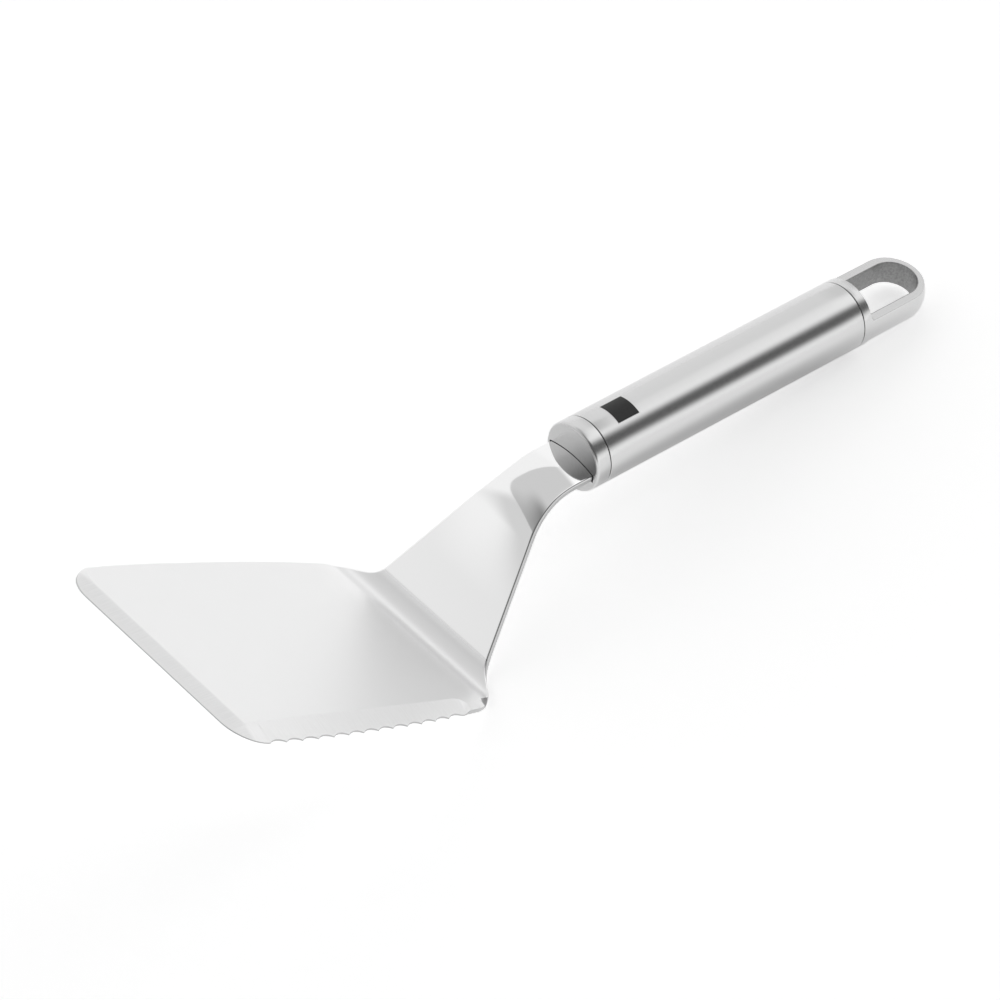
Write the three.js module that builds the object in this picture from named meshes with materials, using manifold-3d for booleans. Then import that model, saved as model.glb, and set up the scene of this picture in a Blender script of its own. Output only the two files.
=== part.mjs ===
// Lasagna server in stainless steel. One bent and crowned sheet makes the blade, its neck and the hidden
// tang. The tang sits in a slotted cap at the front of a hollow round handle, and a second cap closes the
// back of the handle and carries the hanging loop.
import * as THREE from "three";
import { mergeVertices } from "three/addons/utils/BufferGeometryUtils.js";
import Module from "manifold-3d";

const wasm = await Module();
wasm.setup();

// Driving dimensions, in millimetres and degrees

// Handle: tube and caps of one diameter, turned about one axis
const handleDiameter = 22;
const tubeLength = 105.4;
const tubeWall = 1.0;
const seamGap = 0.3;
const seamChamfer = 0.15;
const fitClearance = 0.3;
const spigotLength = 8;
const capLength = 5.4;
const capRimRadius = 1.0;
const collarLength = 3.3;

// Hanging loop: a flattened extension of the rear cap with a round end
const loopThickness = 8.2;
const loopLength = 29.45;
const loopEndRadius = 10.9;
const loopOpeningWidth = 14.8;
const loopEndWall = 2.65;
const loopInnerFillet = 0.8;

// Side profile of the sheet, measured on its upper face from the handle to the front edge. The drop is how
// far its side edges lie below the handle's axis.
const sheetThickness = 2.0;
const sheetDrop = 0.35;
const neckLevelLength = 6.5;
const upperBendRadius = 20.2;
const upperBendAngle = 26.4;
const lowerBendRadius = 31.0;
const lowerBendAngle = 25.7;
const neckStraightLength = 33.75;
const heelRadius = 8.3;
const heelAngle = 78.6;
const bladeStraightLength = 113.6;

// Outline of the developed sheet: a strip that flares out, a shoulder, and the broad blade
const tangWidth = 13;
const tangLength = 14;
const tangShoulderDepth = 3.0;
const neckWidth = 18.4;
const flareStart = 19.0;
const flareStartRadius = 55;
const shoulderStart = 65.8;
const shoulderStartWidth = 46.8;
const shoulderRadius = 9.3;
const heelCornerStart = 72.8;
const heelWidth = 69.4;
const heelCornerRadius = 12;
const sideSwell = 2.1;
const sideSwellRadius = 500;
const frontWidth = 78.8;
const frontCornerRadius = 11;

// Crown: the neck is arched across at the handle and flattens out on its way down to the blade
const crownRise = 1.45;
const crownFadeLength = 50;

// Grinding on the upper face of the blade, with the thin edge that it leaves
const edgeLand = 0.3;
const frontBevelWidth = 5.7;
const frontBevelEndAngle = 80;
const sideBevelFrontLine = 32.3;
const sideBevelHeelLine = 30.4;
const sideBevelRunOut = 2.2;
const heelFacetLine = 31.8;
const heelFacetAngle = 11.5;

// Scallops along the near edge
const scallopPitch = 6.95;
const scallopCount = 13;
const scallopDepth = 1.0;
const scallopFrontMargin = 10.8;
const scallopRunOut = 5.0;

// How finely round shapes are divided
const turnedSteps = 48;
const roundingSteps = 4;
const loopEndSteps = 8;
const scallopSteps = 6;
const bendSteps = 6;
const cornerSteps = 8;
const cutOverrun = 2;

const { degToRad, lerp, smoothstep } = THREE.MathUtils;
const handleRadius = handleDiameter / 2;
const spigotRadius = handleRadius - tubeWall - fitClearance;
const neckHalf = neckWidth / 2;

// Each mesh is a closed skin of shared vertices, so that it can be cut, joined and measured as a solid.
function solidOf(geometry) {
  const bare = geometry.clone();
  bare.deleteAttribute("normal");
  bare.deleteAttribute("uv");
  const merged = mergeVertices(bare);
  const vertProperties = new Float32Array(merged.attributes.position.array);
  const triVerts = new Uint32Array(merged.index.array);
  return new wasm.Manifold(new wasm.Mesh({ numProp: 3, vertProperties, triVerts }));
}

function geometryOf(solid) {
  const { numProp, vertProperties, triVerts } = solid.getMesh();
  const geometry = new THREE.BufferGeometry();
  geometry.setAttribute("position", new THREE.BufferAttribute(vertProperties, numProp));
  geometry.setIndex(new THREE.BufferAttribute(triVerts, 1));
  geometry.computeVertexNormals();
  return geometry;
}

// Side profile of the sheet's upper face, walked forward from the plane of the front seam. Each stretch is
// straight or bent evenly, and a positive turn bends the sheet down. Behind the seam it runs straight on.
function bend(radius, degrees) {
  return { length: radius * degToRad(Math.abs(degrees)), turn: degToRad(degrees) };
}

const profile = [
  { length: capLength + neckLevelLength, turn: 0 },
  bend(upperBendRadius, upperBendAngle),
  bend(lowerBendRadius, lowerBendAngle),
  { length: neckStraightLength, turn: 0 },
  bend(heelRadius, -heelAngle),
  { length: bladeStraightLength, turn: 0 },
];

function runAtEndOf(stretch) {
  return profile.slice(0, stretch + 1).reduce((sum, { length }) => sum + length, 0);
}

const bendStartRun = runAtEndOf(0);
const bendMiddleRun = runAtEndOf(1);
const bendEndRun = runAtEndOf(2);
const heelStartRun = runAtEndOf(3);
const heelEndRun = runAtEndOf(4);
const frontRun = runAtEndOf(5);

function profileAt(run) {
  const spot = { x: 0, z: -sheetDrop, slope: 0 };
  let left = run;
  for (const { length, turn } of profile) {
    const part = Math.min(left, length);
    const halfSwing = (turn * part) / length / 2;
    const chord = halfSwing ? (part * Math.sin(halfSwing)) / halfSwing : part;
    spot.x -= chord * Math.cos(spot.slope + halfSwing);
    spot.z -= chord * Math.sin(spot.slope + halfSwing);
    spot.slope += halfSwing * 2;
    left -= part;
    if (left <= 0) break;
  }
  return spot;
}

// A broken line of half widths over the run, whose corners are rounded by arcs that touch both sides.
function roundedLine(corners) {
  const heading = (from, to) => Math.atan2(to.half - from.half, to.run - from.run);
  const arcs = corners.slice(1, -1).map((corner, i) => {
    const before = heading(corners[i], corner);
    const after = heading(corner, corners[i + 2]);
    const side = Math.sign(after - before);
    const reach = corner.radius * Math.tan(Math.abs(after - before) / 2);
    const from = corner.run - reach * Math.cos(before);
    const to = corner.run + reach * Math.cos(after);
    const centre = {
      run: from - side * corner.radius * Math.sin(before),
      half: corner.half - reach * Math.sin(before) + side * corner.radius * Math.cos(before),
    };
    const offset = (run) => Math.sqrt(Math.max(0, corner.radius ** 2 - (run - centre.run) ** 2));
    return { from, to, centre, halfAt: (run) => centre.half - side * offset(run) };
  });
  const halfAt = (run) => {
    const arc = arcs.find(({ from, to }) => run >= from && run <= to);
    if (arc) return arc.halfAt(run);
    const next = Math.max(1, corners.findIndex((corner) => corner.run >= run));
    const [a, b] = [corners[next - 1], corners[next]];
    return lerp(a.half, b.half, (run - a.run) / (b.run - a.run));
  };
  return { arcs, halfAt };
}

// Outline of the developed sheet, on one side of its middle line. The tang steps out to the neck inside
// the front cap, and the sides of the blade bow outward by the same swell at a quarter of their length from
// each end.
const tangEndRun = -tangLength;
const heelCornerRun = capLength + heelCornerStart;
const tangStepRun = capLength - tangShoulderDepth;
const tangStepLength = (neckWidth - tangWidth) / 2;
const swellShares = [1 / 4, 3 / 4];
const swellCorners = swellShares.map((share) => ({
  run: lerp(heelCornerRun, frontRun, share),
  half: lerp(heelWidth, frontWidth, share) / 2 + sideSwell,
  radius: sideSwellRadius,
}));
const outline = roundedLine([
  { run: tangStepRun, half: neckHalf },
  { run: capLength + flareStart, half: neckHalf, radius: flareStartRadius },
  { run: capLength + shoulderStart, half: shoulderStartWidth / 2, radius: shoulderRadius },
  { run: heelCornerRun, half: heelWidth / 2, radius: heelCornerRadius },
  ...swellCorners,
  { run: frontRun, half: frontWidth / 2, radius: frontCornerRadius },
  { run: frontRun, half: 0 },
]);
const frontCorner = outline.arcs.at(-1).centre;

function halfWidthAt(run) {
  const step = Math.min(1, Math.max(0, (run - tangStepRun) / tangStepLength + 1));
  return run > tangStepRun ? outline.halfAt(run) : lerp(tangWidth / 2, neckHalf, step);
}

// Depth of the scallops below the outline. Each is a circular arc from cusp to cusp, and the last one
// fades into the plain heel corner.
const scallopRadius = (scallopPitch ** 2 / 4 + scallopDepth ** 2) / (2 * scallopDepth);
const scallopFrontRun = frontRun - scallopFrontMargin;
const scallopHeelRun = scallopFrontRun - scallopPitch * scallopCount;
const lastScallopRun = scallopHeelRun + scallopPitch / 2;

function scallopAt(run) {
  if (run >= scallopFrontRun || run <= lastScallopRun - scallopRunOut) return 0;
  if (run < lastScallopRun) {
    const fade = (lastScallopRun - run) / scallopRunOut;
    return (scallopDepth * (1 + Math.cos(Math.PI * fade))) / 2;
  }
  const place = (run - scallopHeelRun) / scallopPitch;
  const fromMiddle = (place - Math.floor(place)) * scallopPitch - scallopPitch / 2;
  return Math.sqrt(scallopRadius ** 2 - fromMiddle ** 2) - scallopRadius + scallopDepth;
}

// Depth that the grinding takes off the upper face at a place on the blade. The front bevel narrows to
// nothing round the far corner. Round the near corner it turns into the side bevel, and both slope down to
// the same thin edge. At the heel the side bevel ends in a round run-out, and a shallower facet goes on.
const grindDepth = sheetThickness - edgeLand;
const frontBevelRun = frontRun - frontBevelWidth;
const sideBevelEndRun = lastScallopRun - scallopRunOut;

function sideBevelLineAt(run) {
  const share = (run - sideBevelEndRun) / (frontBevelRun - sideBevelEndRun);
  return lerp(sideBevelHeelLine, sideBevelFrontLine, Math.min(1, Math.max(0, share)));
}

function cornerGrindAt(ahead, out, nearSide) {
  const angle = Math.atan2(out, ahead);
  const frontReach = frontBevelRun - frontCorner.run;
  const endShare = angle / degToRad(frontBevelEndAngle);
  const narrowing = frontBevelWidth * Math.min(1, endShare ** 2);
  const nearReach = Math.min(
    frontReach / Math.cos(angle),
    (sideBevelFrontLine - frontCorner.half) / Math.sin(angle),
  );
  const reach = nearSide ? nearReach : frontReach + narrowing;
  const width = nearSide ? frontCornerRadius - reach : frontBevelWidth;
  return grindDepth * Math.max(0, (Math.hypot(ahead, out) - reach) / width);
}

function sideGrindAt(run, out) {
  const line = sideBevelLineAt(run);
  const full = grindDepth * Math.max(0, (out - line) / (halfWidthAt(run) - line));
  const facet = Math.tan(degToRad(heelFacetAngle)) * Math.max(0, out - heelFacetLine);
  const share = smoothstep(run, sideBevelEndRun - sideBevelRunOut, sideBevelEndRun);
  return lerp(facet, full, share);
}

function grindAt(run, across) {
  if (run < heelStartRun) return 0;
  const nearSide = across < 0;
  const out = Math.abs(across);
  const ahead = run - frontCorner.run;
  if (ahead > 0 && out > frontCorner.half) {
    return Math.min(grindDepth, cornerGrindAt(ahead, out - frontCorner.half, nearSide));
  }
  const front = grindDepth * Math.max(0, (run - frontBevelRun) / frontBevelWidth);
  const side = nearSide && ahead <= 0 ? sideGrindAt(run, out) : 0;
  return Math.min(grindDepth, Math.max(front, side));
}

// Height of the crown over the flat profile: a shallow arch across the sheet that fades along it.
function crownAt(run, across) {
  const half = Math.max(neckHalf, halfWidthAt(run));
  const fade = 1 - smoothstep(run, capLength, capLength + crownFadeLength);
  return crownRise * fade * (1 - (across / half) ** 2);
}

// A point of the sheet in the handle's frame: run is measured along the upper face, across from the middle
// line to the far side, and height square to the face.
function sheetPoint(run, across, height) {
  const { x, z, slope } = profileAt(run);
  const rise = height + crownAt(run, across);
  return new THREE.Vector3(x - rise * Math.sin(slope), across, z + rise * Math.cos(slope));
}

// A closed skin over two matching grids of points. Rows run from the handle forward and each row goes from
// the near side to the far side.
function plateGeometry(upper, lower) {
  const rows = upper.length;
  const columns = upper[0].length;
  const at = (row, column) => row * columns + column;
  const under = (row, column) => rows * columns + at(row, column);
  const index = [];
  const quad = (a, b, c, d) => index.push(a, b, c, a, c, d);
  for (let row = 0; row + 1 < rows; row++) {
    for (let column = 0; column + 1 < columns; column++) {
      const next = column + 1;
      quad(at(row, column), at(row, next), at(row + 1, next), at(row + 1, column));
      quad(under(row, column), under(row + 1, column), under(row + 1, next), under(row, next));
    }
    const last = columns - 1;
    quad(at(row, 0), at(row + 1, 0), under(row + 1, 0), under(row, 0));
    quad(at(row, last), under(row, last), under(row + 1, last), at(row + 1, last));
  }
  for (let column = 0; column + 1 < columns; column++) {
    const next = column + 1;
    const last = rows - 1;
    quad(at(0, column), under(0, column), under(0, next), at(0, next));
    quad(at(last, column), at(last, next), under(last, next), under(last, column));
  }
  const geometry = new THREE.BufferGeometry().setFromPoints([...upper.flat(), ...lower.flat()]);
  geometry.setIndex(index);
  geometry.computeVertexNormals();
  return geometry;
}

// Blade, neck and tang: one sheet. Its rows stand close where the sheet bends, flares or is scalloped, and
// its columns follow the inner line of the side bevel.
function spread(from, to, steps) {
  return Array.from({ length: steps }, (_, i) => lerp(from, to, i / steps));
}

function sheetRows() {
  const corner = Array.from({ length: cornerSteps + 1 }, (_, i) => {
    return frontCorner.run + frontCornerRadius * Math.sin((Math.PI / 2) * (i / cornerSteps));
  });
  const beforeBevel = corner.filter((run) => run < frontBevelRun);
  const afterBevel = corner.filter((run) => run > frontBevelRun);
  return [
    tangEndRun,
    tangStepRun - tangStepLength,
    ...spread(tangStepRun, bendStartRun, 2),
    ...spread(bendStartRun, bendMiddleRun, bendSteps),
    ...spread(bendMiddleRun, bendEndRun, bendSteps),
    ...spread(bendEndRun, heelStartRun, bendSteps),
    ...spread(heelStartRun, heelEndRun, bendSteps * 2),
    ...spread(heelEndRun, sideBevelEndRun - sideBevelRunOut, cornerSteps),
    ...spread(sideBevelEndRun - sideBevelRunOut, sideBevelEndRun, 2),
    ...spread(sideBevelEndRun, lastScallopRun, scallopSteps),
    ...spread(lastScallopRun, scallopHeelRun + scallopPitch, scallopSteps / 2),
    ...spread(scallopHeelRun + scallopPitch, scallopFrontRun, scallopSteps * (scallopCount - 1)),
    scallopFrontRun,
    ...beforeBevel,
    frontBevelRun,
    ...afterBevel,
  ];
}

const rimShare = 0.93;
const innerShares = [-0.6, -0.28, 0, 0.28, 0.6];

function sheetColumnsAt(run) {
  const half = halfWidthAt(run);
  const rim = half * rimShare;
  const bevelLine = run < sideBevelEndRun ? heelFacetLine : sideBevelLineAt(run);
  const near = Math.min(rim, bevelLine);
  return [scallopAt(run) - half, -near, ...innerShares.map((share) => half * share), rim, half];
}

function bladeGeometry() {
  const grid = sheetRows().map((run) => sheetColumnsAt(run).map((across) => ({ run, across })));
  const upper = grid.map((row) =>
    row.map(({ run, across }) => sheetPoint(run, across, -grindAt(run, across))),
  );
  const lower = grid.map((row) => row.map(({ run, across }) => sheetPoint(run, across, -sheetThickness)));
  return plateGeometry(upper, lower);
}

// Hollow through the front cap for the neck and tang: the same arched sheet, larger all round by the
// clearance of the fit.
function slotGeometry() {
  const backRun = -spigotLength - cutOverrun;
  const stepRun = tangStepRun - fitClearance;
  const neckRun = capLength + cutOverrun;
  const runs = [backRun, stepRun - tangStepLength, stepRun, neckRun];
  const halfAt = (run) => halfWidthAt(Math.min(neckRun, run + fitClearance)) + fitClearance;
  const columnsAt = (run) => [-1, ...innerShares, 1].map((share) => share * halfAt(run));
  const layer = (height) =>
    runs.map((run) => columnsAt(run).map((across) => sheetPoint(run, across, height)));
  return plateGeometry(layer(fitClearance), layer(-sheetThickness - fitClearance));
}

// A solid turned about the handle's axis from a profile of radius against place along the axis.
function turned(points) {
  const profilePoints = points.map(([radius, along]) => new THREE.Vector2(radius, along));
  return new THREE.LatheGeometry(profilePoints, turnedSteps).rotateZ(-Math.PI / 2);
}

// Points on a quarter arc from one place to the next, about a centre on the turned profile.
function arcPoints(centreRadius, centreAlong, radius, fromAngle, toAngle, steps) {
  return Array.from({ length: steps + 1 }, (_, i) => {
    const angle = lerp(fromAngle, toAngle, i / steps);
    return [centreRadius + radius * Math.cos(angle), centreAlong + radius * Math.sin(angle)];
  });
}

// Front cap: a turned plug with a softened rim, a spigot in the tube and the slot for the sheet.
function frontCapGeometry() {
  const back = -seamGap / 2;
  const rim = arcPoints(
    handleRadius - capRimRadius,
    -capLength + capRimRadius,
    capRimRadius,
    -Math.PI / 2,
    0,
    roundingSteps,
  );
  const plug = turned([
    [0, -capLength],
    ...rim,
    [handleRadius, back - seamChamfer],
    [handleRadius - seamChamfer, back],
    [spigotRadius, back],
    [spigotRadius, spigotLength],
    [0, spigotLength],
  ]);
  return geometryOf(solidOf(plug).subtract(solidOf(slotGeometry())));
}

// Handle tube: a plain drawn tube with its ends lightly broken, so that each seam shows as a fine groove.
function handleTubeGeometry() {
  const front = seamGap / 2;
  const back = tubeLength - seamGap / 2;
  const bore = handleRadius - tubeWall;
  return turned([
    [bore, front],
    [handleRadius - seamChamfer, front],
    [handleRadius, front + seamChamfer],
    [handleRadius, back - seamChamfer],
    [handleRadius - seamChamfer, back],
    [bore, back],
    [bore, front],
  ]);
}

// Rear cap with the hanging loop: turned with a domed end, flattened behind the collar and pierced by an
// opening that starts at the collar and ends in a half round.
function loopCapGeometry() {
  const front = tubeLength + seamGap / 2;
  const collarEnd = tubeLength + collarLength;
  const loopEnd = collarEnd + loopLength;
  const domeCentre = loopEnd - loopEndRadius;
  const body = turned([
    [0, tubeLength - spigotLength],
    [spigotRadius, tubeLength - spigotLength],
    [spigotRadius, front],
    [handleRadius - seamChamfer, front],
    [handleRadius, front + seamChamfer],
    [handleRadius, collarEnd],
    ...arcPoints(0, domeCentre, loopEndRadius, 0, Math.PI / 2, loopEndSteps),
  ]);

  const halfThick = loopThickness / 2;
  const outside = handleRadius + cutOverrun;
  const side = new THREE.Shape();
  side.moveTo(tubeLength - spigotLength - cutOverrun, -outside);
  side.lineTo(collarEnd, -outside);
  side.lineTo(collarEnd, -halfThick - loopInnerFillet);
  side.absarc(
    collarEnd + loopInnerFillet,
    -halfThick - loopInnerFillet,
    loopInnerFillet,
    Math.PI,
    Math.PI / 2,
    true,
  );
  side.lineTo(loopEnd + cutOverrun, -halfThick);
  side.lineTo(loopEnd + cutOverrun, halfThick);
  side.lineTo(collarEnd + loopInnerFillet, halfThick);
  side.absarc(
    collarEnd + loopInnerFillet,
    halfThick + loopInnerFillet,
    loopInnerFillet,
    -Math.PI / 2,
    -Math.PI,
    true,
  );
  side.lineTo(collarEnd, outside);
  side.lineTo(tubeLength - spigotLength - cutOverrun, outside);
  const sideCut = new THREE.ExtrudeGeometry(side, {
    depth: outside * 2,
    bevelEnabled: false,
    curveSegments: roundingSteps,
  });
  sideCut.translate(0, 0, -outside).rotateX(Math.PI / 2);

  const openHalf = loopOpeningWidth / 2;
  const roundCentre = loopEnd - loopEndWall - openHalf;
  const opening = new THREE.Shape();
  opening.moveTo(collarEnd, -openHalf + loopInnerFillet);
  opening.absarc(
    collarEnd + loopInnerFillet,
    -openHalf + loopInnerFillet,
    loopInnerFillet,
    Math.PI,
    Math.PI * 1.5,
    false,
  );
  opening.absarc(roundCentre, 0, openHalf, -Math.PI / 2, Math.PI / 2, false);
  opening.absarc(
    collarEnd + loopInnerFillet,
    openHalf - loopInnerFillet,
    loopInnerFillet,
    Math.PI / 2,
    Math.PI,
    false,
  );
  const openingCut = new THREE.ExtrudeGeometry(opening, {
    depth: outside * 2,
    bevelEnabled: false,
    curveSegments: loopEndSteps * 2,
  });
  openingCut.translate(0, 0, -outside);
  return geometryOf(solidOf(body).intersect(solidOf(sideCut)).subtract(solidOf(openingCut)));
}

// Finishes: the sheet is polished, the tube and front cap are brushed satin, the loop cap is finely cast
function steel(color, roughness) {
  return new THREE.MeshStandardMaterial({ color, roughness, metalness: 1 });
}

function piece(name, geometry, material) {
  const mesh = new THREE.Mesh(geometry, material);
  mesh.name = name;
  return mesh;
}

// The server lies as on a table: on the round underside of its heel and on the lower rim of the collar.
function restAngle() {
  const heelStart = profileAt(heelStartRun);
  const centreX = heelStart.x - heelRadius * Math.sin(heelStart.slope);
  const centreZ = heelStart.z + heelRadius * Math.cos(heelStart.slope);
  const back = tubeLength + collarLength - centreX;
  const down = -handleRadius - centreZ;
  return Math.atan2(down, back) + Math.asin((heelRadius + sheetThickness) / Math.hypot(down, back));
}

const handleFrame = new THREE.Group();
handleFrame.add(
  piece("blade", bladeGeometry(), steel(0xe4e5e6, 0.12)),
  piece("front_cap", frontCapGeometry(), steel(0xc6c6c6, 0.34)),
  piece("handle_tube", handleTubeGeometry(), steel(0xcdcdcd, 0.32)),
  piece("loop_cap", loopCapGeometry(), steel(0xbfbfbf, 0.38)),
);
handleFrame.rotation.y = restAngle();

const server = new THREE.Group();
server.add(handleFrame);
const box = new THREE.Box3().setFromObject(server, true);
const middle = box.getCenter(new THREE.Vector3());
handleFrame.position.set(-middle.x, -middle.y, -box.min.z);

export default server;
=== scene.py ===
"""A lasagna server in stainless steel, lying as on a table on its heel and on the rim before its loop.

Sizes are in millimetres in the handle's own frame, which has its origin in the middle of the front seam, and
become metres in the table's frame when a piece is made.
"""
import math

import bpy
import numpy as np
from mathutils import Euler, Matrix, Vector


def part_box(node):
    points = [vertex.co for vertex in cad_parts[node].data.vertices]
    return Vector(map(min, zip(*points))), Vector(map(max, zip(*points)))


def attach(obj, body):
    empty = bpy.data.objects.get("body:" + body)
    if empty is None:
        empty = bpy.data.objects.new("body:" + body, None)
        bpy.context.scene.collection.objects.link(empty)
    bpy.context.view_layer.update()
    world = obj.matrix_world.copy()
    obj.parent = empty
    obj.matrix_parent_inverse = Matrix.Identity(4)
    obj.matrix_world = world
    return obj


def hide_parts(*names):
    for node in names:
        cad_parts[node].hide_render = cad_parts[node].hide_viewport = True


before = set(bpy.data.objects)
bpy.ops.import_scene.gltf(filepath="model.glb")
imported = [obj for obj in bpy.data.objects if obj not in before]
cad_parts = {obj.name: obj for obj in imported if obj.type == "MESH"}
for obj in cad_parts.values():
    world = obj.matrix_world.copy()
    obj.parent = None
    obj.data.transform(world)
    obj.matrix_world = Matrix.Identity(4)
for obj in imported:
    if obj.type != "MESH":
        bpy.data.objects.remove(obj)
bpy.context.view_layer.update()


# The view: a long lens held almost level, looking down on the near side from in front of the blade.
lens = bpy.data.cameras.new("view")
lens.lens = 198
lens.sensor_width = 36
lens.shift_x = -0.0005
lens.shift_y = 0.0005
lens.clip_end = 20
view = bpy.data.objects.new("view", lens)
view.location = (-0.68262, -0.74664, 1.26397)
view.rotation_euler = Euler((math.radians(39.079), math.radians(0.101), math.radians(-41.681)))
bpy.context.scene.collection.objects.link(view)
bpy.context.scene.camera = view


# Blade, neck and tang: one stainless sheet, cut to its outline, bent down behind the handle and up again at
# the heel, arched across at the neck, polished, and ground to a thin edge in front and along the near side.
millimetre = 0.001
sheet_thickness = 2.0
sheet_drop = 0.35
cap_length = 5.4
tube_length = 105.4
collar_length = 3.3
handle_radius = 11.0
neck_level = 6.5
upper_bend = (20.2, math.radians(26.4))  # radius and turn, as for the other bends
lower_bend = (31.0, math.radians(25.7))
neck_straight = 33.75
heel_bend = (8.3, math.radians(78.6))
blade_straight = 113.6
sheet_stretches = [  # length and turn, from the front seam forward
    (cap_length + neck_level, 0.0),
    (upper_bend[0] * upper_bend[1], upper_bend[1]),
    (lower_bend[0] * lower_bend[1], lower_bend[1]),
    (neck_straight, 0.0),
    (heel_bend[0] * heel_bend[1], -heel_bend[1]),
    (blade_straight, 0.0),
]
stretch_ends = np.cumsum([length for length, _ in sheet_stretches])
bend_start, _, bend_end, heel_start, heel_end, front_run = stretch_ends


def sheet_line(run):
    """Place and slope of the sheet's upper face at a run along it, walked forward from the front seam: a part
    of a stretch adds a chord of part * sin(a) / a at the slope plus a, where a is half of what it turns."""
    along, up, slope, left = 0 * run, 0 * run - sheet_drop, 0 * run, 1.0 * run
    for length, turn in sheet_stretches:
        part = np.minimum(left, length)
        half_turn = turn * part / length / 2
        chord = part * np.sinc(half_turn / np.pi)
        along = along - chord * np.cos(slope + half_turn)
        up = up - chord * np.sin(slope + half_turn)
        slope = slope + 2 * half_turn
        left = left - part
    return along, up, slope


heel_along, heel_up, heel_slope = sheet_line(np.array(heel_start))
back_reach = tube_length + collar_length - (heel_along - heel_bend[0] * math.sin(heel_slope))
down_reach = -handle_radius - (heel_up + heel_bend[0] * math.cos(heel_slope))
lean = math.atan2(down_reach, back_reach) + math.asin(
    (heel_bend[0] + sheet_thickness) / math.hypot(down_reach, back_reach))
handle_axis = np.array([math.cos(lean), 0, -math.sin(lean)])
handle_rise = np.array([math.sin(lean), 0, math.cos(lean)])
tube_middle = np.mean([tuple(corner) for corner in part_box("handle_tube")], axis=0)
seam_middle = tube_middle - handle_axis * tube_length * millimetre / 2


def placed(along, across, up):
    """Points of the handle's frame in the table's frame and in metres: the middle of the front seam, plus
    each distance times its direction."""
    parts = np.broadcast_arrays(along, across, up)
    along, across, up = (millimetre * np.asarray(part, float)[..., None] for part in parts)
    return seam_middle + along * handle_axis + across * np.array([0, 1, 0]) + up * handle_rise


merge_steps = 1e6
sharp_angle = math.radians(35)


def skin(name, grids, **marks):
    """One mesh over grids of points that meet at their rims. Each grid is (points, flipped), its faces look
    towards columns x rows, or the other way if flipped. Points that round to the same micrometre become one,
    a face that loses a side becomes a triangle, and each mark holds one number per point of every grid."""
    points = np.concatenate([grid.reshape(-1, 3) for grid, _ in grids])
    faces, start = [], 0
    for grid, flipped in grids:
        rows, columns = grid.shape[:2]
        index = start + np.arange(rows * columns).reshape(rows, columns)
        corners = [index[:-1, :-1], index[:-1, 1:], index[1:, 1:], index[1:, :-1]]
        quads = np.stack(corners, axis=-1).reshape(-1, 4)
        faces.append(quads[:, ::-1] if flipped else quads)
        start += rows * columns
    steps = np.round(points * merge_steps).astype(np.int64)
    _, first, place = np.unique(steps, axis=0, return_index=True, return_inverse=True)
    faces = place.reshape(-1)[np.concatenate(faces)]
    triangles = []
    for side in range(4):
        lost = faces[:, side] == faces[:, (side + 1) % 4]
        triangles.append(np.delete(faces[lost], side, axis=1))
        faces = faces[~lost]
    triangles = np.concatenate(triangles)
    triangles = triangles[(triangles[:, 0] != triangles[:, 1]) & (triangles[:, 1] != triangles[:, 2])
                          & (triangles[:, 2] != triangles[:, 0])]
    mesh = bpy.data.meshes.new(name)
    mesh.from_pydata(points[first], [], faces.tolist() + triangles.tolist())
    for mark, values in marks.items():
        numbers = np.concatenate([np.ravel(part) for part in values])[first]
        layer = mesh.attributes.new(mark, "FLOAT", "POINT")
        layer.data.foreach_set("value", numbers.astype(np.float32))
    mesh.shade_smooth()
    mesh.set_sharp_from_angle(angle=sharp_angle)
    piece = bpy.data.objects.new(name, mesh)
    bpy.context.scene.collection.objects.link(piece)
    return piece


tang_half = 13.0 / 2
tang_end = -14.0
tang_step = cap_length - 3.0
neck_half = 18.4 / 2
neck_flare = cap_length + 19.0
flare_radius = 55
shoulder = cap_length + 65.8
shoulder_half = 46.8 / 2
shoulder_radius = 9.3
heel_corner = cap_length + 72.8
heel_half = 69.4 / 2
heel_radius = 12
front_half = 78.8 / 2
front_corner = 11.0
side_swell = 2.1
swell_radius = 500
swell_share = 0.25
swell_reach = swell_share * (front_run - heel_corner)
swell_widening = swell_share * (front_half - heel_half)
sheet_corners = [  # run, half width, rounding radius
    (tang_step, neck_half, 0),
    (neck_flare, neck_half, flare_radius),
    (shoulder, shoulder_half, shoulder_radius),
    (heel_corner, heel_half, heel_radius),
    (heel_corner + swell_reach, heel_half + swell_widening + side_swell, swell_radius),
    (front_run - swell_reach, front_half - swell_widening + side_swell, swell_radius),
    (front_run, front_half, front_corner),
    (front_run, 0, 0),
]
corner_run, corner_half, corner_radius = np.array(sheet_corners).T
corner_heading = np.arctan2(np.diff(corner_half), np.diff(corner_run))
corner_side = np.sign(np.diff(corner_heading))
corner_reach = corner_radius[1:-1] * np.tan(np.abs(np.diff(corner_heading)) / 2)
arc_start = corner_run[1:-1] - corner_reach * np.cos(corner_heading[:-1])
arc_end = corner_run[1:-1] + corner_reach * np.cos(corner_heading[1:])
arc_run = arc_start - corner_side * corner_radius[1:-1] * np.sin(corner_heading[:-1])
arc_half = (corner_half[1:-1] - corner_reach * np.sin(corner_heading[:-1])
            + corner_side * corner_radius[1:-1] * np.cos(corner_heading[:-1]))


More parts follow.
